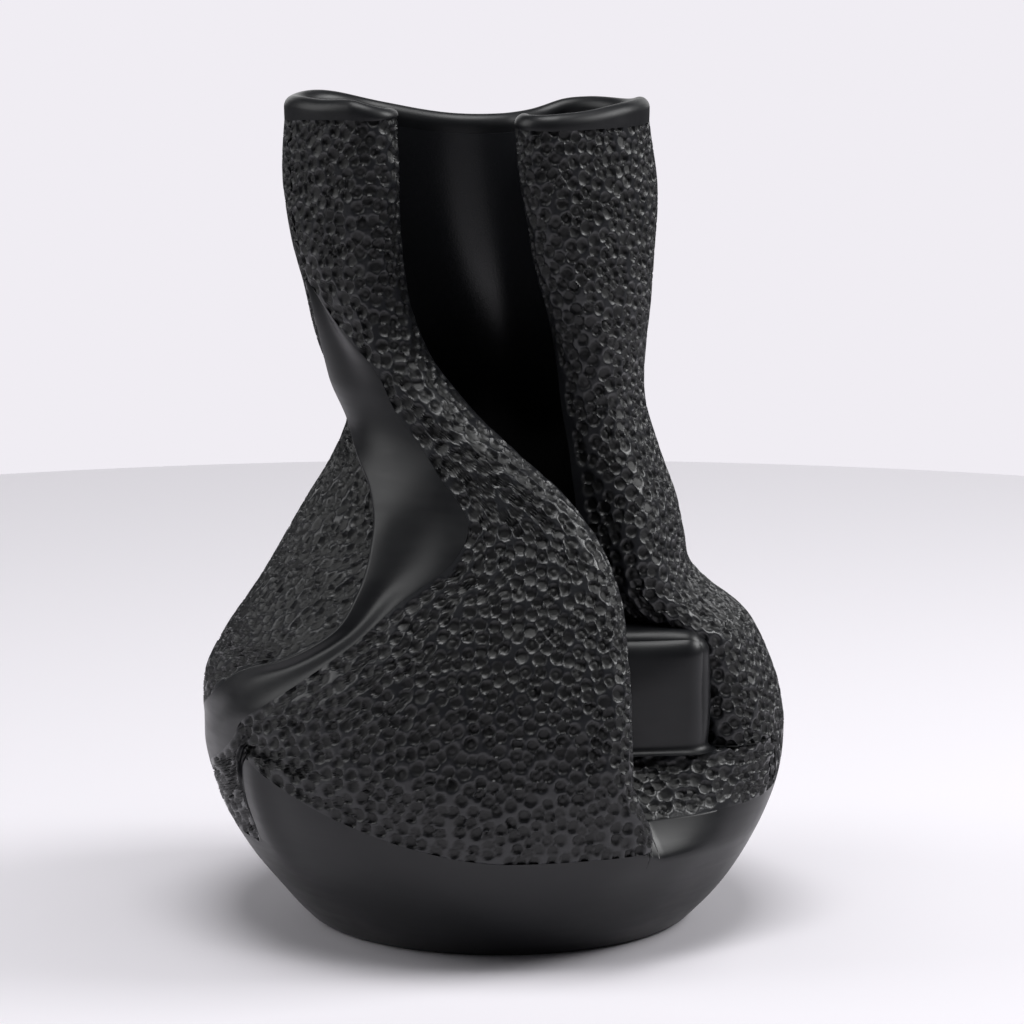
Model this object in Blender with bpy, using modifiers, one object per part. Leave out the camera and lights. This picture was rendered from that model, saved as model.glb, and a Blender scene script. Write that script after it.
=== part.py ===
"""Barro negro vase: a hand-built black clay pot whose wall is a folded sheet, open down the front.

Metres, +Z up, the front of the pot faces -Y and the foot stands on Z = 0, centred on the Z axis.
The wall is described by a turn (degrees round the pot) and a height. Turn 0 is the front, 90 the
right side, 180 the back, 270 the left side and 360 the front again, where the flap passes over the
start of the wall, so the wall is a spiral with two free, inward-rolled edges.
"""

import bpy
import numpy as np

NAME = "barro_negro_vase"
GAP = 0.0004  # between pieces that are luted together, one on the other
SEAM = 0.0010  # between slabs that are luted edge to edge
MOST_LEAN = 3.0  # how far a sloping seam may widen the step from slab to slab

FOOT_RADIUS = 0.0665
BELLY_HEIGHT = 0.070  # where the bowl's flare is widest
BOWL_FLARE = 0.036  # how much wider the belly is than the foot
FLOOR = 0.009  # thickness of clay under the inside of the pot
WALL = 0.0065  # thickness of a slab
BOWL_WALL = 0.0078

WALL_BOTTOM = 0.045  # nominal height where the slabs stand on the bowl
WALL_TOP = 0.2840  # nominal height where the rim coil sits on the slabs
BLEND_HEIGHT = 0.045  # over which the rows bend to those two lines
COIL_WIDTH = 0.0068

# Height of the slabs' top round the pot: (turn, height)
SLAB_TOP = ((18, 0.2836), (45, 0.2830), (70, 0.2818), (92, 0.2808), (116, 0.2785), (142, 0.2778),
            (155, 0.2768), (170, 0.2740), (188, 0.2738), (212, 0.2768), (237, 0.2812), (270, 0.2815),
            (285, 0.2828), (300, 0.2846), (315, 0.2858), (352, 0.2862))
# Height of the rim coil from the right wall's free edge to the flap's: (share of its length, height)
COIL_HEIGHT = ((0.0, 0.0040), (0.09, 0.0054), (0.13, 0.0060), (0.19, 0.0080), (0.26, 0.0084),
               (0.32, 0.0076), (0.40, 0.0070), (0.53, 0.0066), (0.62, 0.0068), (0.69, 0.0073),
               (0.78, 0.0084), (0.82, 0.0082), (0.86, 0.0068), (0.91, 0.0064), (0.94, 0.0044),
               (0.97, 0.0030), (1.0, 0.0026))

# Half-width or half-depth of the plan at each height, above the bowl: (height, reach)
LEFT_REACH = ((0.070, 0.1045), (0.086, 0.1035), (0.100, 0.0965), (0.122, 0.0825), (0.143, 0.0705),
              (0.164, 0.0585), (0.176, 0.0555), (0.193, 0.0605), (0.221, 0.0680), (0.249, 0.0740),
              (0.270, 0.0755), (0.292, 0.0735))
RIGHT_REACH = ((0.070, 0.1000), (0.085, 0.0970), (0.098, 0.0915), (0.107, 0.0855), (0.114, 0.0760),
               (0.122, 0.0680), (0.136, 0.0645), (0.150, 0.0613), (0.165, 0.0557), (0.182, 0.0508),
               (0.221, 0.0529), (0.249, 0.0546), (0.270, 0.0530), (0.292, 0.0500))
FRONT_REACH = ((0.070, 0.1010), (0.100, 0.0960), (0.120, 0.0870), (0.140, 0.0760), (0.160, 0.0650),
               (0.180, 0.0560), (0.200, 0.0500), (0.230, 0.0465), (0.292, 0.0445))
BACK_REACH = ((0.070, 0.1000), (0.090, 0.0970), (0.110, 0.0880), (0.140, 0.0700), (0.170, 0.0550),
              (0.200, 0.0480), (0.240, 0.0455), (0.292, 0.0440))

# Turn of the burnished band's two edges at each height: (height, degrees)
BAND_UPPER = ((0.027, 214), (0.047, 221), (0.064, 246), (0.079, 279), (0.096, 296), (0.1035, 308),
              (0.114, 318), (0.127, 321), (0.141, 320.5), (0.150, 318), (0.159, 311), (0.178, 287),
              (0.217, 284), (0.229, 283))
BAND_LOWER = ((0.027, 232), (0.043, 242), (0.058, 272), (0.067, 290), (0.080, 302), (0.096, 314.5),
              (0.110, 324.5), (0.127, 335), (0.140, 347), (0.152, 350.5), (0.169, 337), (0.184, 323.5),
              (0.202, 315), (0.210, 305.5), (0.223, 293), (0.229, 284))
BAND_TOP = 0.2265  # height of the band's pointed upper end

BACK_SEAM_RIGHT, BACK_SEAM_LEFT = 142.0, 212.0
CREASE_DEPTH = 0.021  # how far the back is folded in at the rim
CREASE_TURN, CREASE_DRIFT = 183.0, 5.0  # where the fold lies at the waist, and how far it leans by the rim
LAP_DEPTH = 0.011  # how far the band's edge stands over the rear left wall
SCOOP_DEPTH = 0.0022
VALLEY_DEPTH = 0.036  # how far the wall is drawn in beside the block
LEDGE_DEPTH = 0.004  # how far it is drawn in over the rest of the ledge
VALLEY_START, VALLEY_FLOOR = 0.0355, 0.068
SHOULDER = 0.07  # roundness of the step from the bowl into the valley
FLOOR_REACH = 0.026  # how far the level floor runs in under the block
RIGHT_LINE = 0.0485  # height of the bowl's edge under the ledge
ROLL_RADIUS = 0.0115  # outer radius of the rolled free edges
LEAST_ROLL = 0.0080

FLAP_END = 34.8  # turn where the flap's foot ends on the bowl
LEDGE_END = 74.0  # turn where the ledge beside the block ends

BLOCK_SIZE = (0.0490, 0.0260, 0.0418)
BLOCK_FRONT_LEFT = (0.0240, -0.0540)
BLOCK_TURN = 7.5  # degrees
BLOCK_EDGE = 0.0052

LOWER_ROWS, UPPER_ROWS = 27, 8  # rows of the slabs below and above the band's upper end
BOWL_COLUMNS = 90

CLAY = {
    "textured": ((0.012, 0.012, 0.013), 0.46),
    "burnished": ((0.010, 0.010, 0.011), 0.30),
}


def smoothstep(x, low, high):
    t = np.clip((x - low) / (high - low), 0.0, 1.0)
    return t * t * (3.0 - 2.0 * t)


def hill(x, middle, width):
    return np.exp(-(((x - middle) / width) ** 2))


def swing(x, middle, width):
    """Rises from 0 to 1 around middle."""
    return 1.0 / (1.0 + np.exp(-(x - middle) / width))


def through(stations, x):
    """A smooth curve through the stations: a cubic between each two, with the slopes of their neighbours."""
    at, value = np.array(stations, float).T
    slope = np.gradient(value, at)
    x = np.clip(x, at[0], at[-1])
    i = np.clip(np.searchsorted(at, x) - 1, 0, len(at) - 2)
    span = at[i + 1] - at[i]
    t = (x - at[i]) / span
    return (
        value[i] * (1 + 2 * t) * (1 - t) ** 2
        + span * slope[i] * t * (1 - t) ** 2
        + value[i + 1] * t * t * (3 - 2 * t)
        + span * slope[i + 1] * t * t * (t - 1)
    )


def bowl_reach(z):
    """The bowl's flare is a parabola, widest at the belly."""
    return FOOT_RADIUS + BOWL_FLARE * (1 - (1 - z / BELLY_HEIGHT) ** 2)


def reach(stations, z):
    """The bowl's round plan up to the belly, handing over to the side's own stations above it."""
    side = through(stations, z)
    return bowl_reach(np.minimum(z, BELLY_HEIGHT)) + (side - stations[0][1]) + (
        stations[0][1] - FOOT_RADIUS - BOWL_FLARE
    ) * smoothstep(z, 0.01, BELLY_HEIGHT)


def texture_line(turn):
    """Height of the line where the bowl ends and the slabs start, with its pleat at the left."""
    turn = np.mod(turn - FLAP_END, 360.0) + FLAP_END
    climb = 0.027 * np.clip((360.0 - turn) / 58.0, 0, 1.2) ** 1.5
    front = 0.0400 + climb
    low = 0.0340 + 0.0135 * smoothstep(235.0 - turn, 0, 60)
    line = low + (front - low) * smoothstep(turn, 295.5, 302)
    return RIGHT_LINE + (line - RIGHT_LINE) * smoothstep(turn, 95, 150)


def ledge_line(turn):
    """Height of the line where the ledge beside the block ends and the right wall stands."""
    rise = (VALLEY_FLOOR - RIGHT_LINE) * smoothstep(LEDGE_END + 8.0 - turn, 0, 6)
    return texture_line(turn) + rise


def height_at(turn, h, bottom=texture_line):
    """True height of the nominal height h, which bends the lowest and highest rows to their lines."""
    below = np.clip((WALL_BOTTOM + BLEND_HEIGHT - h) / BLEND_HEIGHT, 0, 1)
    above = np.clip((h - WALL_TOP + BLEND_HEIGHT) / BLEND_HEIGHT, 0, 1)
    lift = (bottom(turn) - WALL_BOTTOM) * below**2
    return h + lift + (through(SLAB_TOP, turn) - WALL_TOP) * above**2


def drawn_in(turn, z):
    """How far the valley beside the block draws the wall in."""
    depth = VALLEY_DEPTH * smoothstep(74.0 - turn, 0, 46) + LEDGE_DEPTH * smoothstep(90.0 - turn, 0, 30)
    start = VALLEY_START + 0.0045 * smoothstep(FLAP_END + 3.0 - turn, 0, 10)
    share = np.clip((z - start) / (VALLEY_FLOOR - start), 0, 1)
    rise = (np.hypot(share, SHOULDER) - SHOULDER) / (np.hypot(1.0, SHOULDER) - SHOULDER)
    return depth * rise * (1 - smoothstep(z, 0.090, 0.118))


def flap_side(z):
    """The flap's half-width where it passes over the right side: a little over its depth."""
    return reach(FRONT_REACH, z) * (1 + 0.05 * smoothstep(z, 0.045, 0.10))


def wall_point(turn, z, relief=0.0, over=False):
    """A point of the outer surface: an oval plan whose four half-axes change with height.

    relief moves it outwards, and over is true for the flap, which keeps its own round plan where
    it passes over the right side.
    """
    s, c = np.sin(np.radians(turn)), np.cos(np.radians(turn))
    front = reach(FRONT_REACH, z)
    right = flap_side(z) if over else reach(RIGHT_REACH, z)
    side = np.where(s > 0, right, reach(LEFT_REACH, z))
    deep = np.where(c > 0, front, reach(BACK_REACH, z))
    crease = CREASE_TURN + CREASE_DRIFT * smoothstep(z, 0.18, 0.28)
    fold = CREASE_DEPTH * hill(turn, crease, 24) * smoothstep(z, 0.085, 0.24)
    out = relief - (0.0 if over else drawn_in(turn, z))
    return np.stack([(side + out) * s, -(deep + out) * c - fold, z + 0.0 * s], axis=-1)


def band_share(turn, z):
    """Where a point lies between the band's upper edge (0) and lower edge (1)."""
    upper, lower = through(BAND_UPPER, z), through(BAND_LOWER, z)
    return (turn - upper) / np.maximum(lower - upper, 1.0)


def lap(turn, z):
    """The rear left wall dips beside the band's edge, most at the middle of the scoop."""
    away = np.maximum(through(BAND_UPPER, z) - turn, 0.0)
    return -LAP_DEPTH * hill(z, 0.150, 0.030) * np.exp(-((away / 24.0) ** 2))


def scoop(turn, z):
    """The band is hollowed across its width."""
    share = np.clip(band_share(turn, z), 0, 1)
    return -SCOOP_DEPTH * np.sin(np.pi * share) ** 2 * smoothstep(z, 0.05, 0.12)


def flap_edge(h):
    """Where the flap's rolled edge reaches, in X: an S from the left of the slit to the block."""
    return -0.035 + 0.0805 * swing(-h, -0.1735, 0.0165) + 0.008 * smoothstep(-h, -0.070, -0.046)


def flap_start(h):
    """Turn where the flap starts to roll in, so that the roll reaches flap_edge."""
    radius = roll_radius(h)
    front = reach(FRONT_REACH, h)
    turn = np.full_like(h, 360.0)
    for _ in range(8):
        side = np.where(turn < 360, reach(LEFT_REACH, h), flap_side(h))
        across, along = np.sin(np.radians(turn)) / side, np.cos(np.radians(turn)) / front
        leaning = across / np.hypot(across, along)
        reached = np.clip((flap_edge(h) - radius + radius * leaning) / side, -0.98, 0.98)
        turn = 360.0 + np.degrees(np.arcsin(reached))
    return turn


def right_start(h):
    """Turn where the right wall starts to roll in."""
    return 23.5 + 36.0 * swing(-h, -0.218, 0.014) + 8.0 * swing(-h, -0.125, 0.006)


def roll_radius(h):
    return LEAST_ROLL + (ROLL_RADIUS - LEAST_ROLL) * smoothstep(h, 0.045, 0.085)


def rolled(start, sign, share, radius, sweep, run):
    """The free edge: an arc that turns inwards from the wall, and then a straight run.

    share goes from 0 where the arc starts to 1 at the edge. start is a function that gives the
    wall's point for a turn offset, and sign is the way the turn grows towards the edge.
    """
    here, ahead = start(0.0), start(0.5 * sign)
    along = ahead - here
    along[..., 2] = 0.0
    along /= np.linalg.norm(along, axis=-1, keepdims=True)
    out = np.stack([along[..., 1], -along[..., 0], 0 * along[..., 0]], axis=-1) * sign
    length = radius * sweep + run
    gone = share * length
    angle = np.minimum(gone / radius, sweep)
    straight = np.maximum(gone - radius * sweep, 0.0)
    sine, cosine = np.sin(angle)[..., None], np.cos(angle)[..., None]
    centre = here - radius[..., None] * out
    arc = centre + radius[..., None] * (out * cosine + along * sine)
    return arc + straight[..., None] * (along * cosine - out * sine)


def flap_surface(turn_from):
    """The flap: the wall from turn_from(h) to the start of its roll, and then the roll."""

    def surface(u, h, plain):
        begin, end = turn_from(h), flap_start(h)
        flat = np.clip(u, None, 1.0)
        turn = begin + (end - begin) * flat
        z = height_at(turn, h)
        point = wall_point(turn, z, 0.0, over=True)

        def start(offset):
            return wall_point(end + offset, height_at(end, h), 0.0, over=True)

        sweep = np.pi * (0.5 + 0.35 * smoothstep(h, 0.10, 0.22))
        edge = rolled(start, 1, np.clip(u - 1, 0, None), roll_radius(h), sweep, 0.001 + 0 * h)
        return np.where((u > 1)[..., None], edge, point)

    return surface


def right_surface(turn_to):
    """The right wall: the rolled edge (u below 0), and then the wall up to turn_to(h)."""

    def surface(u, h, plain):
        begin, end = right_start(h), turn_to(h)
        flat = np.clip(u, 0.0, None)
        turn = begin + (end - begin) * flat
        point = wall_point(turn, height_at(turn, h, ledge_line))

        def start(offset):
            return wall_point(begin + offset, height_at(begin, h, ledge_line))

        sweep = np.pi * (0.5 + 0.30 * smoothstep(h, 0.15, 0.24))
        run = 0.002 + 0.018 * (1 - smoothstep(h, 0.11, 0.20))
        edge = rolled(start, -1, np.clip(-u, 0, None), 0.0 * h + ROLL_RADIUS, sweep, run)
        return np.where((u < 0)[..., None], edge, point)

    return surface


def plain_surface(turn_from, turn_to, relief):
    """A stretch of wall between two seams, with a relief that the thickness doesn't follow."""

    def surface(u, h, plain):
        begin, end = turn_from(h), turn_to(h)
        turn = begin + (end - begin) * u
        z = height_at(turn, h)
        return wall_point(turn, z, 0.0 if plain else relief(turn, z))

    return surface


def ledge_surface(u, h, plain):
    """The sloping ledge beside the block, from behind the flap to where it runs out at the right.

    h goes from 0 at the bowl's edge to 1 at the right wall's foot, and on to 2 along the level floor
    that the block and the rolled edge stand on.
    """
    slope = np.clip(h, None, 1.0)
    foot = RIGHT_LINE + GAP
    begin = 36.4 - 26.4 * smoothstep(foot + (VALLEY_FLOOR - foot) * slope, 0.052, 0.0605)
    turn = begin + (LEDGE_END - begin) * u
    point = wall_point(turn, foot + (ledge_line(turn) - GAP - foot) * slope)
    inward = FLOOR_REACH * np.clip(h - 1.0, 0, None) + 0.0 * turn
    return point * (1 - np.stack([inward / 0.08, inward / 0.08, 0 * inward], axis=-1))


def outward(surface, u, h):
    """Unit normals of the plain surface, from its differences either way."""
    du, dh = 1e-3, 1e-4
    across = surface(u + du, h, True) - surface(u - du, h, True)
    upward = surface(u, h + dh, True) - surface(u, h - dh, True)
    normal = np.cross(across, upward)
    return normal / np.linalg.norm(normal, axis=-1, keepdims=True)


def grid_faces(columns, rows, first=0, flip=False):
    """Quads of a grid whose points are stored column by column."""
    i, j = np.meshgrid(np.arange(columns - 1), np.arange(rows - 1), indexing="ij")
    a = first + i * rows + j
    quads = np.stack([a, a + rows, a + rows + 1, a + 1], axis=-1).reshape(-1, 4)
    return quads[:, ::-1] if flip else quads


def border(columns, rows):
    """Indices round a grid's edge, in the order of its outward faces."""
    bottom = [i * rows for i in range(columns)]
    far = [(columns - 1) * rows + j for j in range(1, rows)]
    top = [i * rows + rows - 1 for i in range(columns - 2, -1, -1)]
    near = list(range(rows - 2, 0, -1))
    return np.array(bottom + far + top + near)


def closed_slab(outer, inner):
    """Vertices and faces of the solid between two grids of the same shape."""
    columns, rows = outer.shape[:2]
    count = columns * rows
    ring = border(columns, rows)
    after = np.roll(ring, -1)
    sides = np.stack([ring, ring + count, after + count, after], axis=-1)
    faces = np.concatenate(
        [grid_faces(columns, rows), grid_faces(columns, rows, count, True), sides]
    )
    return np.concatenate([outer.reshape(-1, 3), inner.reshape(-1, 3)]), faces


def clay_material(finish):
    """Fired black clay: bare where it is stamped, shiny where it was rubbed with quartz."""
    material = bpy.data.materials.new("clay_" + finish)
    material.use_nodes = True
    shader = material.node_tree.nodes["Principled BSDF"]
    colour, roughness = CLAY[finish]
    shader.inputs["Base Color"].default_value = (*colour, 1.0)
    shader.inputs["Roughness"].default_value = roughness
    shader.inputs["Metallic"].default_value = 0.0
    return material


def add_piece(name, vertices, faces, finish, collection):
    mesh = bpy.data.meshes.new(name)
    mesh.from_pydata(vertices.tolist(), [], [tuple(face) for face in faces])
    mesh.shade_smooth()
    mesh.set_sharp_from_angle(angle=np.radians(40))
    piece = bpy.data.objects.new(name, mesh)
    piece.data.materials.append(clay_material(finish))
    collection.objects.link(piece)
    return piece


def add_slab(name, surface, u, h, finish, collection, level_foot=0.0):
    """A slab of even thickness on the grid of u against h.

    Below level_foot its thickness turns level, so that its foot lies flat on the bowl.
    """
    u, h = np.meshgrid(u, h, indexing="ij")
    normal = outward(surface, u, h)
    if level_foot:
        normal[..., 2] *= smoothstep(h, h.min(), level_foot)
        normal /= np.linalg.norm(normal, axis=-1, keepdims=True)
    outer = surface(u, h, False)
    return add_piece(name, *closed_slab(outer, outer - WALL * normal), finish, collection)


def add_bowl(collection):
    """The bowl: rings round the Z axis, up the outside, over the rim and down the inside."""
    evenly = np.linspace(0, 360, BOWL_COLUMNS, endpoint=False)
    turn = np.unique(np.concatenate([evenly, np.arange(31, 40, 0.5), np.arange(292, 305, 0.75)]))
    near = np.stack([texture_line(turn + step) for step in (-1.0, -0.5, 0.0, 0.5, 1.0)])
    line = near.min(axis=0) - GAP
    rings = [wall_point(turn, line * share) for share in np.linspace(0, 1, 9)]
    away = -rings[-1] * (1, 1, 0) / np.linalg.norm(rings[-1][:, :2], axis=1)[:, None]
    rings.append(rings[-1] + BOWL_WALL * away)
    for share in (0.75, 0.5, 0.25, 0.0):
        z = FLOOR + (line - FLOOR) * share
        corner = 0.010 * (1 - share) ** 3
        rings.append(wall_point(turn, z) + (BOWL_WALL + corner) * away)
    count, rows = len(turn), len(rings)
    vertices = np.stack(rings, axis=1).reshape(-1, 3)
    column, row = np.meshgrid(np.arange(count), np.arange(rows - 1), indexing="ij")
    a = column * rows + row
    b = (column + 1) % count * rows + row
    sides = np.stack([a, b, b + 1, a + 1], axis=-1).reshape(-1, 4).tolist()
    foot = [i * rows for i in range(count)][::-1]
    inside = [i * rows + rows - 1 for i in range(count)]
    return add_piece("base_bowl", vertices, sides + [foot, inside], "burnished", collection)


def add_block(collection, cutters):
    """A rounded box let into the valley, cut away where the right wall's roll passes behind it."""
    bpy.ops.mesh.primitive_cube_add(size=1.0)
    block = bpy.context.object
    block.name = block.data.name = "valley_block"
    angle = np.radians(BLOCK_TURN)
    across = np.array([np.cos(angle), np.sin(angle)])
    back = np.array([-np.sin(angle), np.cos(angle)])
    centre = np.array(BLOCK_FRONT_LEFT) + across * BLOCK_SIZE[0] / 2 + back * BLOCK_SIZE[1] / 2
    block.scale = BLOCK_SIZE
    bpy.ops.object.transform_apply(location=False, rotation=False, scale=True)
    block.location = (*centre, VALLEY_FLOOR + GAP + BLOCK_SIZE[2] / 2)
    block.rotation_euler = (0, 0, angle)
    for holder in list(block.users_collection):
        holder.objects.unlink(block)
    collection.objects.link(block)
    block.data.materials.append(clay_material("burnished"))
    edge = block.modifiers.new("rounded_edges", "BEVEL")
    edge.width, edge.segments = BLOCK_EDGE, 4
    u, h = np.meshgrid(np.linspace(-1, 0.25, 16), np.linspace(WALL_BOTTOM - 0.004, 0.16, 24), indexing="ij")
    surface = right_surface(lambda h: BACK_SEAM_RIGHT + 0 * h)
    front = surface(u, h, True) + GAP * outward(surface, u, h)
    behind = front + np.array([-0.010, 0.049, 0.0])
    cutter = add_piece("roll_cutter", *closed_slab(front, behind), "burnished", cutters)
    cutter.hide_render, cutter.display_type = True, "WIRE"
    cut = block.modifiers.new("fit_to_right_wall", "BOOLEAN")
    cut.object, cut.operation, cut.solver = cutter, "DIFFERENCE", "EXACT"
    return block


def add_rim_coil(surfaces, collection):
    """A burnished coil along the top of the slabs: a rounded strip carried along their middle line."""
    path, out = [], []
    for surface, u in surfaces:
        h = WALL_TOP + 0 * u
        path.append(surface(u, h, True))
        out.append(outward(surface, u, h))
    path, out = np.concatenate(path), np.concatenate(out)
    out[:, 2] = 0
    out /= np.linalg.norm(out, axis=1)[:, None]
    middle = path - 0.5 * WALL * out + (0, 0, 2 * GAP)
    gone = np.concatenate([[0.0], np.cumsum(np.linalg.norm(np.diff(middle, axis=0), axis=1))])
    high = through(COIL_HEIGHT, gone / gone[-1]) - 2 * GAP
    half = COIL_WIDTH / 2
    bend = np.radians(np.linspace(0, 180, 7))
    aside = np.concatenate([[half], half * np.cos(bend), [-half]])
    arch = np.concatenate([[0], np.sin(bend), [0]])
    straight = np.concatenate([[0], np.ones(7), [0]])
    dome = np.minimum(half, 0.8 * high)[:, None]
    up = straight * (high[:, None] - dome) + dome * arch
    rings = middle[:, None] + aside[None, :, None] * out[:, None] + up[..., None] * (0, 0, 1)
    count, around = rings.shape[:2]
    column, row = np.meshgrid(np.arange(count - 1), np.arange(around), indexing="ij")
    a, b = column * around + row, column * around + (row + 1) % around
    sides = np.stack([a, a + around, b + around, b], axis=-1).reshape(-1, 4).tolist()
    start = list(range(around))
    end = [(count - 1) * around + j for j in range(around)][::-1]
    add_piece("rim_coil", rings.reshape(-1, 3), sides + [start, end], "burnished", collection)


def heights(low, high):
    """The shared rows that lie between two heights, so that neighbours meet vertex to vertex."""
    lower = np.linspace(WALL_BOTTOM, BAND_TOP, LOWER_ROWS)
    upper = np.linspace(BAND_TOP, WALL_TOP, UPPER_ROWS)[1:]
    rows = np.concatenate([lower, upper])
    return rows[(rows > low - 1e-6) & (rows < high + 1e-6)]


def beside(seam, side):
    """A seam's turn, moved to one side by half the seam's width, which is measured square to it."""

    def moved(h):
        radius = reach(LEFT_REACH, h)
        slope = np.radians(seam(h + 0.0005) - seam(h - 0.0005)) / 0.001
        lean = np.minimum(np.hypot(1.0, radius * slope), MOST_LEAN)
        return seam(h) + side * np.degrees(0.5 * SEAM / radius) * lean

    return moved


def band_upper(h):
    return through(BAND_UPPER, h)


def band_lower(h):
    return np.maximum(through(BAND_LOWER, h), band_upper(h))


def fixed(turn):
    return lambda h: turn + 0.0 * h


def main():
    for item in list(bpy.data.objects):
        bpy.data.objects.remove(item)
    pot = bpy.data.collections.new(NAME)
    cutters = bpy.data.collections.new("cutters")
    bpy.context.scene.collection.children.link(pot)
    bpy.context.scene.collection.children.link(cutters)

    right_seam, left_seam = fixed(BACK_SEAM_RIGHT), fixed(BACK_SEAM_LEFT)
    right = right_surface(beside(right_seam, -1))
    back = plain_surface(beside(right_seam, 1), beside(left_seam, -1), lambda turn, z: 0 * z)
    rear_left = plain_surface(beside(left_seam, 1), beside(band_upper, -1), lap)
    band = plain_surface(beside(band_upper, 1), beside(band_lower, -1), scoop)
    flap = flap_surface(beside(band_lower, 1))

    by_ledge = np.linspace(0.08, 0.20, 6)
    right_columns = np.unique(np.concatenate([np.linspace(-1, 0, 8), by_ledge, np.linspace(0, 1, 12)]))
    back_columns = np.linspace(0, 1, 16)
    rear_columns = np.linspace(0, 1, 14)
    by_pleat = np.linspace(0.33, 0.43, 8)
    flap_columns = np.unique(np.concatenate([np.linspace(0, 1, 14), by_pleat, np.linspace(1, 2, 8)]))
    rows = heights(WALL_BOTTOM, WALL_TOP)

    add_bowl(pot)
    add_slab("valley_ledge", ledge_surface, np.linspace(0, 1, 14),
             np.linspace(0, 2, 9), "textured", pot, level_foot=0.6)
    add_slab("right_wall", right, right_columns, rows, "textured", pot, level_foot=0.065)
    add_slab("back_wall", back, back_columns, rows, "textured", pot)
    add_slab("rear_left_wall", rear_left, rear_columns, rows, "textured", pot)
    add_slab("burnished_band", band, np.linspace(0, 1, 8), heights(WALL_BOTTOM, BAND_TOP), "burnished", pot)
    add_slab("front_flap", flap, flap_columns, rows, "textured", pot)
    add_block(pot, cutters)
    add_rim_coil(
        ((right, right_columns[:-1]), (back, back_columns[:-1]),
         (rear_left, rear_columns[:-1]), (flap, flap_columns)),
        pot,
    )


main()
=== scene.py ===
"""Black clay vase: a hand-built pot whose wall is a folded sheet of stamped clay, open down the front.

Laid out as a Blender add-on and run as a script. Metres, +Z up, the front of the pot faces -Y and
the foot stands on Z = 0. The wall is described by a turn (degrees round the pot) and a height.
Turn 0 is the front, 90 the right side, 180 the back, 270 the left side and 360 the front again,
where the flap passes over the start of the wall.
"""

import bpy
import numpy as np
from bpy.props import FloatProperty, IntProperty, PointerProperty, StringProperty
from mathutils import Euler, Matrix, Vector
from mathutils.kdtree import KDTree


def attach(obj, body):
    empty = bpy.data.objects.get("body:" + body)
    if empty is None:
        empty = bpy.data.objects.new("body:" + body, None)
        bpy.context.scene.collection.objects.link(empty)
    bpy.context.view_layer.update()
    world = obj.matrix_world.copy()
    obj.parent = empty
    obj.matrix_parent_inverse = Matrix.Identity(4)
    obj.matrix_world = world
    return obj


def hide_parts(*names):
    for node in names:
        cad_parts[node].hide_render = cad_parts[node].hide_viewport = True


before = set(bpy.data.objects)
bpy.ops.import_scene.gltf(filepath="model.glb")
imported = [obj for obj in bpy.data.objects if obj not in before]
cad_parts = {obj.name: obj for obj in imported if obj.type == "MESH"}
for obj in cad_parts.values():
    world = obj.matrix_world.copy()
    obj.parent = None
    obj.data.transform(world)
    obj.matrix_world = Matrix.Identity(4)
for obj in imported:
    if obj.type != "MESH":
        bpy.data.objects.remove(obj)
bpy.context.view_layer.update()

bl_info = {
    "name": "Folded Black Clay Vase",
    "version": (1, 0, 0),
    "blender": (4, 5, 0),
    "location": "View3D > Sidebar > Clay Vase",
    "description": "Builds a hand-built, stamped and burnished black clay vase",
    "category": "Add Mesh",
}

MM = 0.001
BODY = "root"

FOOT_RADIUS = 0.0665
BELLY_HEIGHT = 0.07
BOWL_FLARE = 0.036
FLOOR = 0.009
FLOOR_CORNER = 0.01  # how far the bowl's wall thickens towards the floor
BOWL_WALL = 0.0078
FOOT_EDGE = 0.0016

WALL_BOTTOM = 0.045  # nominal height where the slabs stand on the bowl
WALL_TOP = 0.284  # nominal height where the rim coil sits on the slabs
BLEND_HEIGHT = 0.045  # height over which the lowest and highest rows bend
SEAM = 0.00006  # gap beside the band
SEAM_TURN = 0.02  # degrees that a slab stops short of a seam in the back

# Height of the slabs' top round the pot: (turn, height)
SLAB_TOP = ((18, 0.2836), (45, 0.283), (70, 0.2818), (92, 0.2808), (116, 0.2785), (142, 0.2778),
            (155, 0.2768), (170, 0.274), (188, 0.2738), (212, 0.2768), (237, 0.2812), (270, 0.2815),
            (285, 0.2828), (300, 0.2846), (315, 0.2858), (352, 0.2862))
# Height of the rim coil from the right wall's free edge to the flap's: (share of its length, height)
COIL_HEIGHT = ((0.0, 0.004), (0.09, 0.0054), (0.13, 0.006), (0.19, 0.008), (0.26, 0.0084),
               (0.32, 0.0076), (0.4, 0.007), (0.53, 0.0066), (0.62, 0.0068), (0.69, 0.0073),
               (0.78, 0.0084), (0.82, 0.0082), (0.86, 0.0068), (0.91, 0.0064), (0.94, 0.0044),
               (0.97, 0.003), (1.0, 0.0026))

# Half-width or half-depth of the plan at each height, above the bowl: (height, reach)
LEFT_REACH = ((0.07, 0.1045), (0.086, 0.1035), (0.1, 0.0965), (0.122, 0.0825), (0.143, 0.0705),
              (0.164, 0.0585), (0.176, 0.0555), (0.193, 0.0605), (0.221, 0.068), (0.249, 0.074),
              (0.27, 0.0755), (0.292, 0.0735))
RIGHT_REACH = ((0.07, 0.1), (0.085, 0.097), (0.098, 0.0915), (0.107, 0.0855), (0.114, 0.076),
               (0.122, 0.068), (0.136, 0.0645), (0.15, 0.0613), (0.165, 0.0557), (0.182, 0.0508),
               (0.221, 0.0529), (0.249, 0.0546), (0.27, 0.053), (0.292, 0.05))
FRONT_REACH = ((0.07, 0.101), (0.1, 0.096), (0.12, 0.087), (0.14, 0.076), (0.16, 0.065),
               (0.18, 0.056), (0.2, 0.05), (0.23, 0.0465), (0.292, 0.0445))
BACK_REACH = ((0.07, 0.1), (0.09, 0.097), (0.11, 0.088), (0.14, 0.07), (0.17, 0.055),
              (0.2, 0.048), (0.24, 0.0455), (0.292, 0.044))

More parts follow.
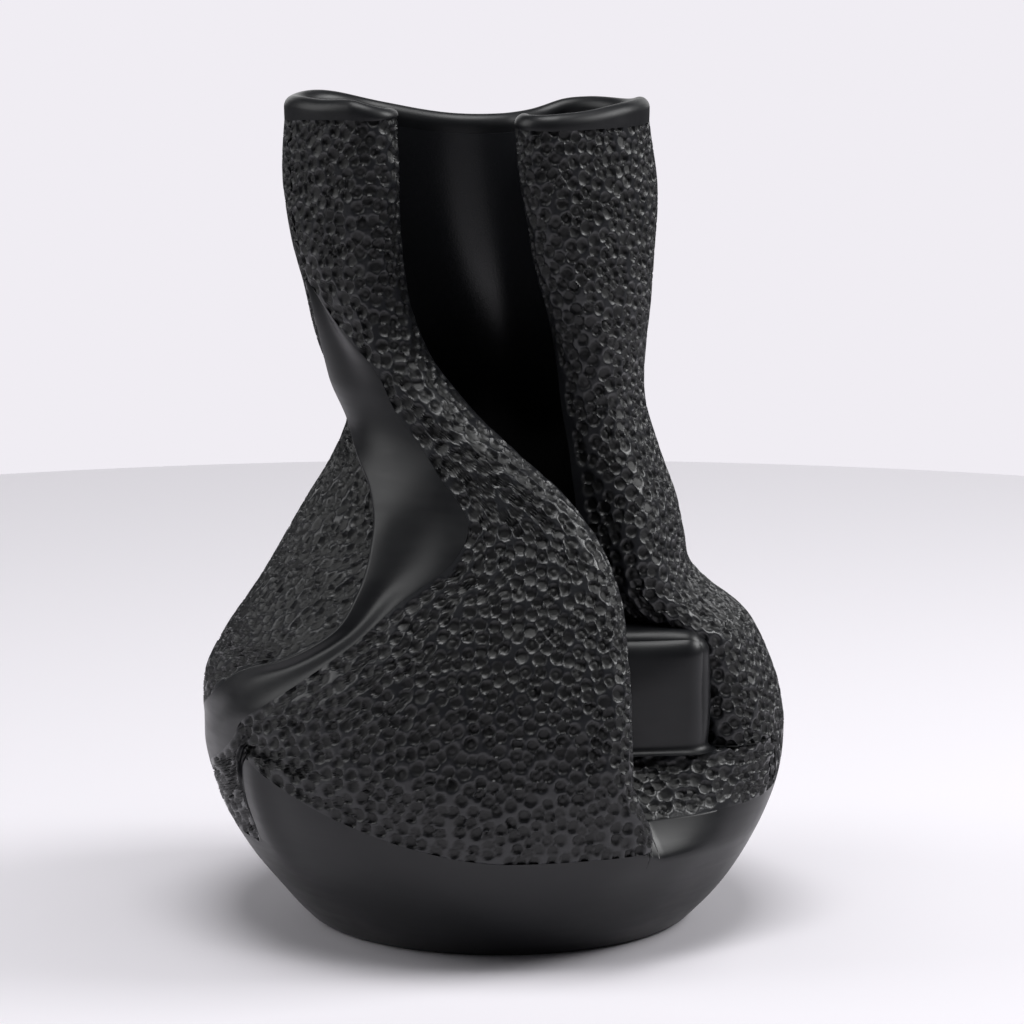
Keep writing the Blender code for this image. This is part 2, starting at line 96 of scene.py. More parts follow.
# Turn of the burnished band's two edges at each height: (height, degrees)
BAND_UPPER = ((0.027, 214), (0.047, 221), (0.064, 246), (0.079, 279), (0.096, 296), (0.1035, 308),
              (0.114, 318), (0.127, 321), (0.141, 320.5), (0.15, 318), (0.159, 311), (0.178, 287),
              (0.217, 284), (0.229, 283))
BAND_LOWER = ((0.027, 232), (0.043, 242), (0.058, 272), (0.067, 290), (0.08, 302), (0.096, 314.5),
              (0.11, 324.5), (0.127, 335), (0.14, 347), (0.152, 350.5), (0.169, 337), (0.184, 323.5),
              (0.202, 315), (0.21, 305.5), (0.223, 293), (0.229, 284))
BAND_TOP = 0.2265

BACK_SEAM_RIGHT, BACK_SEAM_LEFT = 142.0, 212.0
CREASE_DEPTH, CREASE_WIDTH = 0.021, 24.0  # the fold in the back, in metres and degrees
CREASE_TURN, CREASE_DRIFT = 183.0, 5.0
LAP_DEPTH = 0.011  # how far the rear wall dips below the band's edge
LAP_HEIGHT, LAP_SPREAD, LAP_TURN = 0.15, 0.03, 24.0  # its middle, and its spread in height and turn
SCOOP_DEPTH = 0.0022  # hollow across the band
BAND_EDGE = 0.0024  # radius of the band's free edge
BAND_THIN = 0.003  # how much thinner it is there
PLEAT_DEPTH = 0.0014  # of its ridge and of the dip behind it
VALLEY_DEPTH = 0.036
LEDGE_DEPTH = 0.004
VALLEY_START, VALLEY_FLOOR = 0.0355, 0.068
SHOULDER = 0.07  # roundness of the step from the bowl into the valley
FLOOR_REACH = 0.026
ROLL_RADIUS = 0.0115
LEAST_ROLL = 0.008
FLAP_END, STEP_BACK = 34.8, 1.7  # turn where the flap's foot ends, and how far under it the bowl steps up
LEDGE_START, LEDGE_END = 10.0, 80.0

# Height of the bowl's edge: at the right; at the front, and its climb to the left; behind the pleat,
# and its climb to the back
RIGHT_LINE = 0.0485
FRONT_LINE, FRONT_CLIMB = 0.04, 0.0285
REAR_LINE, REAR_CLIMB = 0.034, 0.0135
PLEAT_STEP = (297.0, 303.5)  # turns between which the bowl's edge steps up at the left

# The flap's rolled edge, in X: at the neck, and how far it swings to the right below
NECK_EDGE, EDGE_SWING = -0.035, 0.0805
SWING_HEIGHT, SWING_SPREAD = 0.1735, 0.0165
FOOT_SWING = 0.008
RIGHT_EDGE = 23.5  # turn of the right wall's rolled edge at the rim

BLOCK_SIZE = (0.049, 0.026, 0.0418)
BLOCK_FRONT_LEFT = (0.024, -0.054)
BLOCK_TURN = 7.5
BLOCK_FILLET = (0.0032, 0.003)  # how far the smeared clay round its foot spreads, and how high it climbs
BLOCK_SWELL = 0.0016  # fullness of its faces
BLOCK_GRID = 49
SUNK = 0.0003  # how far the block and the coil press in

COIL_TAPER = 0.006  # over which each end rounds off

# a turn by three unlike angles, so that the stamps' lattice lies along no row of the wall
LATTICE_TURN = np.array(Euler((0.61, 0.47, 1.13)).to_matrix())
CELL_SHARE = 0.57  # cell's size over the spacing: less than 1 / sqrt(3), so no cell holds two marks
CELLS = 1024  # most cells along a side
SPOTS = 4096  # random places that the cells share out
STAMP_MARGIN = 0.0014  # least distance of a mark's middle from the band and the bowl
LONG_MARKS = (1.2, 1.2, 0.82)  # closeness of the rear wall's marks along the lattice's axes

COARSE = 4  # the inner side of a slab has one row for every four outside
SPLIT_ROW = 108  # row where the two widest slabs are parted into two meshes

# Each light's name, place and size
LIGHTS = (("key", (1.1, 0.1, 0.85), (0.55, 0.55)), ("fill", (-1.15, 0.0, 0.7), (0.7, 0.9)),
          ("top", (0.0, -0.12, 1.35), (0.8, 0.7)), ("back", (0.0, 1.5, 0.5), (1.8, 0.7)))
LIT_POINT = (0.0, 0.0, 0.15)
CAMERA_AIM = (0.0, 0.0, 0.135)
LENS, CAMERA_SHIFT = 241.07, (0.0117, 0.0205)
ROOM_LIGHT, ROOM_STRENGTH, BACKDROP = "#e9e9ee", 0.08, "#f0edf3"


def smoothstep(x, low, high):
    """A cubic that rises from 0 at low to 1 at high, level at both."""
    t = np.clip((x - low) / (high - low), 0.0, 1.0)
    return t * t * (3.0 - 2.0 * t)


def hill(x, middle, width):
    """A bell curve, 1 at the middle and 1 / e at the width from it."""
    return np.exp(-(((x - middle) / width) ** 2))


def swing(x, middle, width):
    """An S that rises from 0 to 1 around the middle."""
    return 1.0 / (1.0 + np.exp(-(x - middle) / width))


def unit(vectors):
    """Each vector at length 1, and one of no length as it is."""
    return vectors / np.maximum(np.linalg.norm(vectors, axis=-1, keepdims=True), 1e-12)


def through(stations, x):
    """A smooth curve through the stations: a cubic between each two, with their neighbours' slopes."""
    at, value = np.array(stations, float).T
    slope = np.gradient(value, at)
    x = np.clip(x, at[0], at[-1])
    i = np.clip(np.searchsorted(at, x) - 1, 0, len(at) - 2)
    span = at[i + 1] - at[i]
    t = (x - at[i]) / span
    return (
        value[i] * (1 + 2 * t) * (1 - t) ** 2
        + span * slope[i] * t * (1 - t) ** 2
        + value[i + 1] * t * t * (3 - 2 * t)
        + span * slope[i + 1] * t * t * (t - 1)
    )


def bowl_reach(z):
    """The bowl's flare is a parabola, widest at the belly."""
    return FOOT_RADIUS + BOWL_FLARE * (1 - (1 - z / BELLY_HEIGHT) ** 2)


def reach(stations, z):
    """The bowl's round plan up to the belly, handing over to the side's own stations above it."""
    side = through(stations, z)
    return bowl_reach(np.minimum(z, BELLY_HEIGHT)) + (side - stations[0][1]) + (
        stations[0][1] - FOOT_RADIUS - BOWL_FLARE
    ) * smoothstep(z, 0.01, BELLY_HEIGHT)


def texture_line(turn, end=FLAP_END):
    """Height of the line where the bowl ends and the slabs start, with its pleat at the left.

    The flap's foot is low as far as the turn end, where the line steps up to the ledge.
    """
    turn = np.mod(turn - end, 360.0) + end
    front = FRONT_LINE + FRONT_CLIMB * np.clip((360.0 - turn) / 58.0, 0, 1.2) ** 1.5
    rear = REAR_LINE + REAR_CLIMB * smoothstep(235.0 - turn, 0, 60)
    line = rear + (front - rear) * smoothstep(turn, *PLEAT_STEP)
    return RIGHT_LINE + (line - RIGHT_LINE) * smoothstep(turn, 95, 150)


def ledge_line(turn):
    """Height of the line where the ledge beside the block ends and the right wall stands."""
    rise = (VALLEY_FLOOR - RIGHT_LINE) * smoothstep(LEDGE_END + 2.0 - turn, 0, 6)
    return texture_line(turn, LEDGE_START - 1.0) + rise


def height_at(turn, h, bottom=texture_line):
    """True height of the nominal height h, which bends the lowest and highest rows to their lines."""
    below = np.clip((WALL_BOTTOM + BLEND_HEIGHT - h) / BLEND_HEIGHT, 0, 1)
    above = np.clip((h - WALL_TOP + BLEND_HEIGHT) / BLEND_HEIGHT, 0, 1)
    lift = (bottom(turn) - WALL_BOTTOM) * below**2
    return h + lift + (through(SLAB_TOP, turn) - WALL_TOP) * above**2


def drawn_in(turn, z):
    """How far the valley beside the block draws the wall in."""
    depth = VALLEY_DEPTH * smoothstep(74.0 - turn, 0, 46) + LEDGE_DEPTH * smoothstep(90.0 - turn, 0, 30)
    start = VALLEY_START + 0.0045 * smoothstep(FLAP_END + 3.0 - turn, 0, 10)
    share = np.clip((z - start) / (VALLEY_FLOOR - start), 0, 1)
    rise = (np.hypot(share, SHOULDER) - SHOULDER) / (np.hypot(1.0, SHOULDER) - SHOULDER)
    return depth * rise * (1 - smoothstep(z, 0.09, 0.118))


def pleat(turn, z):
    """A soft upright fold at the left: a ridge above the bowl's point with a dip behind it."""
    tall = smoothstep(z, 0.02, 0.045) * (1 - smoothstep(z, 0.056, 0.074))
    return tall * (PLEAT_DEPTH * hill(turn, 306.0, 4.0) - PLEAT_DEPTH * hill(turn, 295.0, 6.0))


def flap_side(z):
    """The flap's half-width where it passes over the right side: a little over its depth."""
    return reach(FRONT_REACH, z) * (1 + 0.05 * smoothstep(z, 0.045, 0.1))


def wall_point(turn, z, relief=0.0, over=False):
    """A point of the outer surface: an oval plan whose four half-axes change with height.

    relief moves it outwards, and over is true for the flap, which keeps its own round plan where
    it passes over the right side.
    """
    s, c = np.sin(np.radians(turn)), np.cos(np.radians(turn))
    front = reach(FRONT_REACH, z)
    right = flap_side(z) if over else reach(RIGHT_REACH, z)
    side = np.where(s > 0, right, reach(LEFT_REACH, z))
    deep = np.where(c > 0, front, reach(BACK_REACH, z))
    crease = CREASE_TURN + CREASE_DRIFT * smoothstep(z, 0.18, 0.28)
    fold = CREASE_DEPTH * hill(turn, crease, CREASE_WIDTH) * smoothstep(z, 0.085, 0.24)
    out = relief + pleat(turn, z) - (0.0 if over else drawn_in(turn, z))
    return np.stack([(side + out) * s, -(deep + out) * c - fold, z + 0.0 * s], axis=-1)


def off_edge(turn, seam, z):
    """Distance along the wall from a seam of the band, measured roughly square to it."""
    radius = reach(LEFT_REACH, z)
    slope = np.radians(through(seam, z + 0.0005) - through(seam, z - 0.0005)) / 0.001
    return np.radians(turn - through(seam, z)) * radius / np.hypot(1.0, radius * slope)


def lap(turn, z):
    """The rear left wall dips beside the band's edge, most at the middle of the scoop."""
    away = np.maximum(through(BAND_UPPER, z) - turn, 0.0)
    return -LAP_DEPTH * hill(z, LAP_HEIGHT, LAP_SPREAD) * hill(away, 0, LAP_TURN)


def scoop(turn, z):
    """The band is hollowed across its width, and its free edge is rounded over."""
    upper, lower = through(BAND_UPPER, z), through(BAND_LOWER, z)
    share = np.clip((turn - upper) / np.maximum(lower - upper, 1.0), 0, 1)
    filled = smoothstep(z, 0.05, 0.12) - 1.2 * hill(z, 0.174, 0.02)
    hollow = -SCOOP_DEPTH * np.sin(np.pi * share) ** 2 * filled
    radius = BAND_EDGE * hill(z, 0.145, 0.045) + 1e-6
    into = np.clip(1 - off_edge(turn, BAND_UPPER, z) / radius, 0, 1)
    return hollow - radius * (1 - np.sqrt(np.maximum(1 - into**2, 0.0)))


def flap_edge(h):
    """Where the flap's rolled edge reaches, in X: an S from the left of the slit to the block."""
    s_curve = EDGE_SWING * swing(-h, -SWING_HEIGHT, SWING_SPREAD)
    return NECK_EDGE + s_curve + FOOT_SWING * smoothstep(-h, -0.07, -0.046)


def roll_radius(h):
    """The flap's roll is tighter at its foot."""
    return LEAST_ROLL + (ROLL_RADIUS - LEAST_ROLL) * smoothstep(h, 0.045, 0.085)


def flap_start(h):
    """Turn where the flap starts to roll in, so that the roll reaches flap_edge, found in a few passes."""
    radius = roll_radius(h)
    front = reach(FRONT_REACH, h)
    turn = np.full_like(h, 360.0)
    for _ in range(8):
        side = np.where(turn < 360, reach(LEFT_REACH, h), flap_side(h))
        across, along = np.sin(np.radians(turn)) / side, np.cos(np.radians(turn)) / front
        leaning = across / np.hypot(across, along)
        reached = np.clip((flap_edge(h) - radius + radius * leaning) / side, -0.98, 0.98)
        turn = 360.0 + np.degrees(np.arcsin(reached))
    return turn


def right_start(h):
    """Turn where the right wall starts to roll in: further round below the neck, and at the block."""
    return RIGHT_EDGE + 36.0 * swing(-h, -0.218, 0.014) + 8.0 * swing(-h, -0.125, 0.006)


def rolled(start, sign, share, radius, sweep, run):
    """The free edge: an arc that turns inwards from the point start, and then a straight run.

    share goes from 0 at the start to 1 at the edge. start is a function of (turn offset) that gives
    the wall's point, and sign is the way the turn grows towards the edge.
    """
    here, ahead = start(0.0), start(0.5 * sign)
    along = ahead - here
    along[..., 2] = 0.0
    along = unit(along)
    out = np.stack([along[..., 1], -along[..., 0], 0 * along[..., 0]], axis=-1) * sign
    gone = share * (radius * sweep + run)
    angle = np.minimum(gone / radius, sweep)
    straight = np.maximum(gone - radius * sweep, 0.0)
    sine, cosine = np.sin(angle)[..., None], np.cos(angle)[..., None]
    centre = here - radius[..., None] * out
    arc = centre + radius[..., None] * (out * cosine + along * sine)
    return arc + straight[..., None] * (along * cosine - out * sine)


def flap_surface(u, h, plain):
    """The flap: the wall from the band's lower edge (u 0) to its roll (u 1), and the roll (u 2)."""
    begin, end = beside(band_lower, 1)(h), flap_start(h)
    turn = begin + (end - begin) * np.clip(u, None, 1.0)
    point = wall_point(turn, height_at(turn, h), over=True)

    def start(offset):
        return wall_point(end + offset, height_at(end, h), over=True)

    sweep = np.pi * (0.5 + 0.35 * smoothstep(h, 0.1, 0.22))
    edge = rolled(start, 1, np.clip(u - 1, 0, None), roll_radius(h), sweep, 0.001 + 0 * h)
    return np.where((u > 1)[..., None], edge, point)


def right_surface(u, h, plain):
    """The right wall: its rolled edge (u below 0), and then the wall up to the seam in the back."""
    begin, end = right_start(h), BACK_SEAM_RIGHT - SEAM_TURN
    turn = begin + (end - begin) * np.clip(u, 0.0, None)
    point = wall_point(turn, height_at(turn, h, ledge_line))

    def start(offset):
        return wall_point(begin + offset, height_at(begin, h, ledge_line))

    sweep = np.pi * (0.5 + 0.3 * smoothstep(h, 0.15, 0.24))
    run = 0.002 + 0.018 * (1 - smoothstep(h, 0.11, 0.2))
    edge = rolled(start, -1, np.clip(-u, 0, None), 0.0 * h + ROLL_RADIUS, sweep, run)
    return np.where((u < 0)[..., None], edge, point)


def plain_surface(turn_from, turn_to, relief):
    """A stretch of wall between two seams, with a relief that is left out where plain is true."""

    def surface(u, h, plain):
        begin, end = turn_from(h), turn_to(h)
        turn = begin + (end - begin) * u
        z = height_at(turn, h)
        return wall_point(turn, z, 0.0 if plain else relief(turn, z))

    return surface


def ledge_surface(u, h, plain):
    """The sloping ledge beside the block, from behind the flap to where it runs out at the right.

    h goes from 0 at the bowl's edge to 1 at the right wall's foot, and on to 2 along the level floor
    that the block and the rolled edge stand on.
    """
    slope = np.clip(h, None, 1.0)
    turn = LEDGE_START + (LEDGE_END - LEDGE_START) * u
    foot = texture_line(turn, LEDGE_START - 1.0)
    point = wall_point(turn, foot + (ledge_line(turn) - foot) * slope)
    inward = FLOOR_REACH * np.clip(h - 1.0, 0, None) + 0.0 * turn
    return point * (1 - np.stack([inward / 0.08, inward / 0.08, 0 * inward], axis=-1))


def beside(seam, side):
    """A seam's turn, moved to one side by half the seam's width."""
    return lambda h: seam(h) + side * np.degrees(0.5 * SEAM / reach(LEFT_REACH, h))


def band_upper(h):
    return through(BAND_UPPER, h)


def band_lower(h):
    """The lower edge never crosses the upper one, so the band ends in a point."""
    return np.maximum(through(BAND_LOWER, h), band_upper(h))


def under_band(h):
    """The rear wall ends at the band's upper edge, and runs on beneath it where it lies deepest."""
    return beside(band_upper, -1)(h) + 9.0 * smoothstep(hill(h, LAP_HEIGHT, LAP_SPREAD), 0.55, 0.9)


def fixed(turn):
    """An upright seam: the same turn at every height."""
    return lambda h: turn + 0.0 * h


back_surface = plain_surface(fixed(BACK_SEAM_RIGHT + SEAM_TURN), fixed(BACK_SEAM_LEFT - SEAM_TURN),
                             lambda turn, z: 0 * z)
rear_surface = plain_surface(fixed(BACK_SEAM_LEFT + SEAM_TURN), under_band, lap)
band_surface = plain_surface(beside(band_upper, 1), beside(band_lower, -1), scoop)


def outward(surface, u, h):
    """Unit normals of a surface without its relief, from its differences either way."""
    du, dh = 1e-3, 1e-4
    across = surface(u + du, h, True) - surface(u - du, h, True)
    upward = surface(u, h + dh, True) - surface(u, h - dh, True)
    return unit(np.cross(across, upward))


def by_hand(points):
    """The slow waviness that hands leave: a sum of sine waves, each 0.1 mm high and 24 to 47 mm long."""
    waves = ((0.11, 0.06, 0.05, 0.3), (-0.05, 0.13, 0.08, 1.7), (0.09, -0.1, 0.14, 4.1),
             (0.16, 0.12, -0.11, 2.6), (-0.14, 0.07, 0.21, 5.2))
    total = 0.0
    for x, y, z, phase in waves:
        total = total + np.sin((points @ np.array([x, y, z])) / MM + phase)
    return 0.00011 * total


def cell_keys(cells):
    """One whole number for each cell of a cubic lattice, with its middle at the origin."""
    x, y, z = np.moveaxis(cells + CELLS // 2, -1, 0)
    return (x * CELLS + y) * CELLS + z


def tree_of(points):
    """A search tree of points, numbered in their order."""
    tree = KDTree(len(points))
    for i, point in enumerate(points):
        tree.insert(point, i)
    tree.balance()
    return tree


class Stamping:
    """Marks of a thin tube pressed all over a surface, side by side and at random.

    Each spot is the surface point nearest to a random place in its cell of a fine lattice, so no
    mark floats off the clay. Spots are then taken in random order, and each one taken rules out
    those nearer than the spacing, which leaves no cell with two marks in it.
    """

    def __init__(self, points, edges, spacing, seed, stretch=(1, 1, 1)):
        self.stretch = np.array(stretch) / (CELL_SHARE * spacing)
        lattice = points @ LATTICE_TURN * self.stretch
        cells = np.floor(lattice).astype(np.int64)
        keys = cell_keys(cells)
        chance = np.random.default_rng(seed)
        spots = chance.uniform(0.0, 1.0, (SPOTS, 3))
        away = np.linalg.norm(lattice - cells - spots[keys % SPOTS], axis=1)
        order = np.lexsort((away, keys))
        picked = order[np.unique(keys[order], return_index=True)[1]]
        keep = np.ones(len(picked), bool)
        for line in edges:
            tree = tree_of(line)
            keep &= np.array([tree.find(spot)[2] > STAMP_MARGIN for spot in points[picked]])
        picked = picked[keep]
        tree = tree_of(lattice[picked])
        keep = np.ones(len(picked), bool)
        for i in chance.permutation(len(picked)):
            if keep[i]:
                keep[[j for _, j, _ in tree.find_range(lattice[picked[i]], 1 / CELL_SHARE)]] = False
                keep[i] = True
        picked = picked[keep]
        self.keys, self.centres = keys[picked], points[picked]
        self.turned = self.centres @ LATTICE_TURN
        count = len(self.keys)
        self.size = chance.uniform(0.86, 1.08, count)
        self.depth = chance.uniform(0.6, 1.15, count)
        self.dome = (chance.random(count) < 0.4) * chance.uniform(0.3, 0.7, count)
        self.tilt = chance.normal(0.0, 0.28, (count, 3))

    def nearest(self, points, radius):
        """For each point, its two least distances from marks in radii, and the nearest mark's number."""
        turned = points @ LATTICE_TURN
        cells = np.floor(turned * self.stretch).astype(np.int64)
        least = np.full(len(points), 9.0)
        second = np.full(len(points), 9.0)
        mark = np.zeros(len(points), np.int64)
        metric = self.stretch / self.stretch.mean()
        steps = (-2, -1, 0, 1, 2)
        offsets = np.stack(np.meshgrid(steps, steps, steps), axis=-1).reshape(-1, 3)
        offsets = offsets[(np.abs(offsets) == 2).sum(axis=1) < 2]
        for offset in offsets:
            key = cell_keys(cells + offset)
            at = np.minimum(np.searchsorted(self.keys, key), len(self.keys) - 1)
            there = np.nonzero(self.keys[at] == key)[0]
            at = at[there]
            away = np.linalg.norm((turned[there] - self.turned[at]) * metric, axis=1)
            away /= radius * self.size[at]
            nearer = away < least[there]
            second[there] = np.where(nearer, least[there], np.minimum(second[there], away))
            least[there[nearer]] = away[nearer]
            mark[there[nearer]] = at[nearer]
        return least, second, mark

    def press(self, points, radius, depth):
        """Depth of the marks at each point, below the surface, and how deep in a mark it lies (0 to 1).

        A mark is a cup with a tilted floor and sometimes a small dome left in its middle. Where two
        cups meet, a thin ridge is left between them.
        """
        least, second, mark = self.nearest(points, radius)
        cup = (1 - smoothstep(least, 0.66, 1.0)) * smoothstep(second - least, 0.02, 0.32)
        lean = np.sum((points - self.centres[mark]) * self.tilt[mark], axis=1) / radius
        dome = self.dome[mark] * (1 - smoothstep(least, 0.05, 0.55))
        down = self.depth[mark] * (1 - dome) + np.clip(lean, -0.45, 0.45)
        return depth * cup * down, cup


def grid_faces(columns, rows, first=0, flip=False):
    """Quads of a grid whose points are stored column by column."""
    i, j = np.meshgrid(np.arange(columns - 1), np.arange(rows - 1), indexing="ij")
    a = first + i * rows + j
    quads = np.stack([a, a + rows, a + rows + 1, a + 1], axis=-1).reshape(-1, 4)
    return quads[:, ::-1] if flip else quads


def border(columns, rows):
    """Indices round a grid's edge, in the order of its outward faces."""
    bottom = np.arange(columns) * rows
    far = (columns - 1) * rows + np.arange(1, rows)
    top = np.arange(columns - 2, -1, -1) * rows + rows - 1
    near = np.arange(rows - 2, 0, -1)
    return np.concatenate([bottom, far, top, near])


def closed_slab(outer, inner):
    """Vertices and faces of the solid between a fine grid and a coarser one that lies inside it."""
    columns, rows = outer.shape[:2]
    count = columns * rows
    fine, coarse = border(columns, rows), count + border(*inner.shape[:2])
    step = len(fine) // len(coarse)
    start = np.arange(len(coarse))[:, None] * step
    along = fine[(start + np.arange(step, -1, -1)) % len(fine)]
    sides = np.concatenate([coarse[:, None], np.roll(coarse, -1)[:, None], along], axis=1)
    faces = grid_faces(columns, rows).tolist() + sides.tolist()
    faces += grid_faces(*inner.shape[:2], count, True).tolist()
    return np.concatenate([outer.reshape(-1, 3), inner.reshape(-1, 3)]), faces


def colour(text):
    """An sRGB hex value as linear red, green and blue."""
    value = np.array([int(text[i:i + 2], 16) for i in (1, 3, 5)]) / 255
    linear = np.where(value <= 0.04045, value / 12.92, ((value + 0.055) / 1.055) ** 2.4)
    return (*linear.tolist(), 1.0)


def add_node(tree, kind, settings=(), inputs=(), links=()):
    """A node with its settings, its sockets' values, and links into its sockets."""
    node = tree.nodes.new(kind)
    for name, value in dict(settings).items():
        setattr(node, name, value)
    for name, value in dict(inputs).items():
        node.inputs[name].default_value = value
    for name, source in dict(links).items():
        tree.links.new(source, node.inputs[name])
    return node


def pattern(size):
    """Scale of a noise whose spots are that many millimetres across."""
    return 1 / (size * MM)


def new_material(name):
    """A material, with its tree and shader when it is still to be made."""
    material = bpy.data.materials.get(name)
    if material:
        return material, None, None
    material = bpy.data.materials.new(name)
    material.use_nodes = True
    tree = material.node_tree
    return material, tree, tree.nodes["Principled BSDF"]


def burnished_clay():
    """Reduction-fired black earthenware, rubbed with quartz while leather-hard: a satin shine.

    The rubbing leaves soft streaks that lie mostly level, seen as changes in the shine.
    """
    material, tree, shader = new_material("burnished_black_earthenware")
    if tree is None:
        return material
    clay = bpy.context.scene.vase_clay
    where = add_node(tree, "ShaderNodeTexCoord").outputs["Object"]
    # streaks 2.4 mm high and 20 mm long
    drawn = add_node(tree, "ShaderNodeMapping", links={"Vector": where},
                     inputs={"Scale": (pattern(20), pattern(20), pattern(2.38))})
    streak = add_node(tree, "ShaderNodeTexNoise", inputs={"Scale": 1.0, "Detail": 4.0, "Roughness": 0.6},
                      links={"Vector": drawn.outputs[0]})
    # smoky clouds from the firing, 25 mm across
    cloud = add_node(tree, "ShaderNodeTexNoise", inputs={"Scale": pattern(25), "Detail": 3.0},
                     links={"Vector": where})
    # grain of the clay, 0.4 mm, which the rubbing has nearly closed
    grain = add_node(tree, "ShaderNodeTexNoise", inputs={"Scale": pattern(0.4), "Detail": 2.0},
                     links={"Vector": where})
    mixed = add_node(tree, "ShaderNodeMath", {"operation": "MULTIPLY_ADD"}, {1: 0.45},
                     {0: streak.outputs["Fac"], 2: cloud.outputs["Fac"]})
    shine = add_node(tree, "ShaderNodeMapRange",
                     inputs={"From Min": 0.45, "From Max": 1.0, "To Min": clay.shine - 0.06,
                             "To Max": clay.shine + 0.12}, links={"Value": mixed.outputs[0]})
    tint = add_node(tree, "ShaderNodeMix", {"data_type": "RGBA"},
                    {6: colour(clay.burnished_dark), 7: colour(clay.burnished_pale)},
                    {0: cloud.outputs["Fac"]})
    bump = add_node(tree, "ShaderNodeBump", inputs={"Strength": 0.1, "Distance": 0.0002},
                    links={"Height": streak.outputs["Fac"]})
    fine = add_node(tree, "ShaderNodeBump", inputs={"Strength": 0.12, "Distance": 0.00008},
                    links={"Height": grain.outputs["Fac"], "Normal": bump.outputs[0]})
    shader.inputs["Specular IOR Level"].default_value = clay.gloss
    tree.links.new(tint.outputs[2], shader.inputs["Base Color"])
    tree.links.new(shine.outputs[0], shader.inputs["Roughness"])
    tree.links.new(fine.outputs[0], shader.inputs["Normal"])
    return material


def stamped_clay():
    """The same clay, stamped and left as it was: dull in the marks, rubbed bright on the ridges, and
    painted darker inside the marks as shade.
    """
    material, tree, shader = new_material("stamped_black_earthenware")
    if tree is None:
        return material
    clay = bpy.context.scene.vase_clay
    where = add_node(tree, "ShaderNodeTexCoord").outputs["Object"]
    # mark is how deep in a mark each point lies; it sets the roughness and also the painted shade inside
    # the marks
    mark = add_node(tree, "ShaderNodeAttribute", {"attribute_name": "mark"}).outputs["Fac"]
    # open grain of the clay, 0.56 mm
    grain = add_node(tree, "ShaderNodeTexNoise", inputs={"Scale": pattern(0.5556), "Detail": 3.0},
                     links={"Vector": where})
    # patches that hands have rubbed more or less, 22 mm across
    cloud = add_node(tree, "ShaderNodeTexNoise", inputs={"Scale": pattern(22.22), "Detail": 3.0},
                     links={"Vector": where})
    # painted shade: the colour goes from the ridge colour to the darker pit colour inside the marks
    tint = add_node(tree, "ShaderNodeMix", {"data_type": "RGBA"},
                    {6: colour(clay.ridge), 7: colour(clay.pit_shade)}, {0: mark})
    uneven = add_node(tree, "ShaderNodeMath", {"operation": "MULTIPLY_ADD"}, {1: 0.35},
                      {0: cloud.outputs["Fac"], 2: mark})
    shine = add_node(tree, "ShaderNodeMapRange",
                     inputs={"From Min": 0.15, "From Max": 1.2, "To Min": clay.ridge_shine,
                             "To Max": clay.pit_shine}, links={"Value": uneven.outputs[0]})
    bump = add_node(tree, "ShaderNodeBump", inputs={"Strength": 0.35, "Distance": 0.00015},
                    links={"Height": grain.outputs["Fac"]})
    shader.inputs["Specular IOR Level"].default_value = clay.ridge_gloss
    tree.links.new(tint.outputs[2], shader.inputs["Base Color"])
    tree.links.new(shine.outputs[0], shader.inputs["Roughness"])
    tree.links.new(bump.outputs[0], shader.inputs["Normal"])
    return material


def add_object(name, data):
    """A new object in the scene, at the origin."""
    item = bpy.data.objects.new(name, data)
    bpy.context.scene.collection.objects.link(item)
    return item


def add_piece(name, vertices, faces, material, nodes, marks=None):
    """A mesh piece that rides on the pot's body and stands for those nodes of the frame."""
    mesh = bpy.data.meshes.new(name)
    mesh.from_pydata(np.asarray(vertices).tolist(), [], faces)
    mesh.shade_smooth()
    mesh.set_sharp_from_angle(angle=np.radians(75))
    if marks is not None:
        layer = mesh.attributes.new("mark", "FLOAT", "POINT")
        layer.data.foreach_set("value", marks.astype(np.float32))
    mesh.materials.append(material)
    piece = add_object(name, mesh)
    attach(piece, BODY)
    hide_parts(*nodes)
    return piece


def slab(surface, u, h, stamping=None, thicker=None):
    """The solid of one slab: its stamped outside, its smooth inside, and how deep each vertex is marked."""
    shape, stamps = bpy.context.scene.vase_shape, bpy.context.scene.vase_stamps
    u, h = np.meshgrid(u, h, indexing="ij")
    plain, normal = surface(u, h, False), outward(surface, u, h)
    if h.min() <= WALL_BOTTOM:  # a slab's foot stands square on the bowl
        normal[..., 2] *= smoothstep(h, h.min(), h.min() + 0.02)
    normal = unit(normal)
    relief = by_hand(plain)
    mark = np.zeros(plain.shape[:2])
    if stamping:
        down, cup = stamping.press(plain.reshape(-1, 3), stamps.radius, stamps.depth)
        relief = relief - down.reshape(mark.shape)
        # mark sets the stamped clay's roughness and its painted shade inside the marks
        mark = cup.reshape(mark.shape)
    outer = plain + relief[..., None] * normal
    depth = shape.wall + (0.0 if thicker is None else thicker(u, h)[..., None])
    inner = (plain - depth * normal)[::COARSE, ::COARSE]
    vertices, faces = closed_slab(outer, inner)
    return vertices, faces, np.concatenate([mark.ravel(), np.zeros(inner.shape[0] * inner.shape[1])])


def columns(*stretches):
    """Column positions: for each (from, to, count), evenly spaced, and joined end to end."""
    parts = [np.linspace(a, b, n, endpoint=False) for a, b, n in stretches]
    return np.concatenate(parts + [[stretches[-1][1]]])


def edge_lines():
    """The lines that the stamping keeps clear of: the band's two edges, and the bowl's edge."""
    h = np.linspace(WALL_BOTTOM, BAND_TOP, 500)
    upper, lower = band_upper(h), band_lower(h)
    turn = np.linspace(FLAP_END, 360 + FLAP_END, 1200)
    return [wall_point(upper, height_at(upper, h), lap(upper, h)), wall_point(lower, height_at(lower, h)),
            wall_point(turn, texture_line(turn))]


def samples(surface, u, h):
    """Points all over a surface, for the stamping: u and h are each (from, to, count)."""
    u, h = np.meshgrid(np.linspace(*u), np.linspace(*h), indexing="ij")
    return surface(u, h, False).reshape(-1, 3)


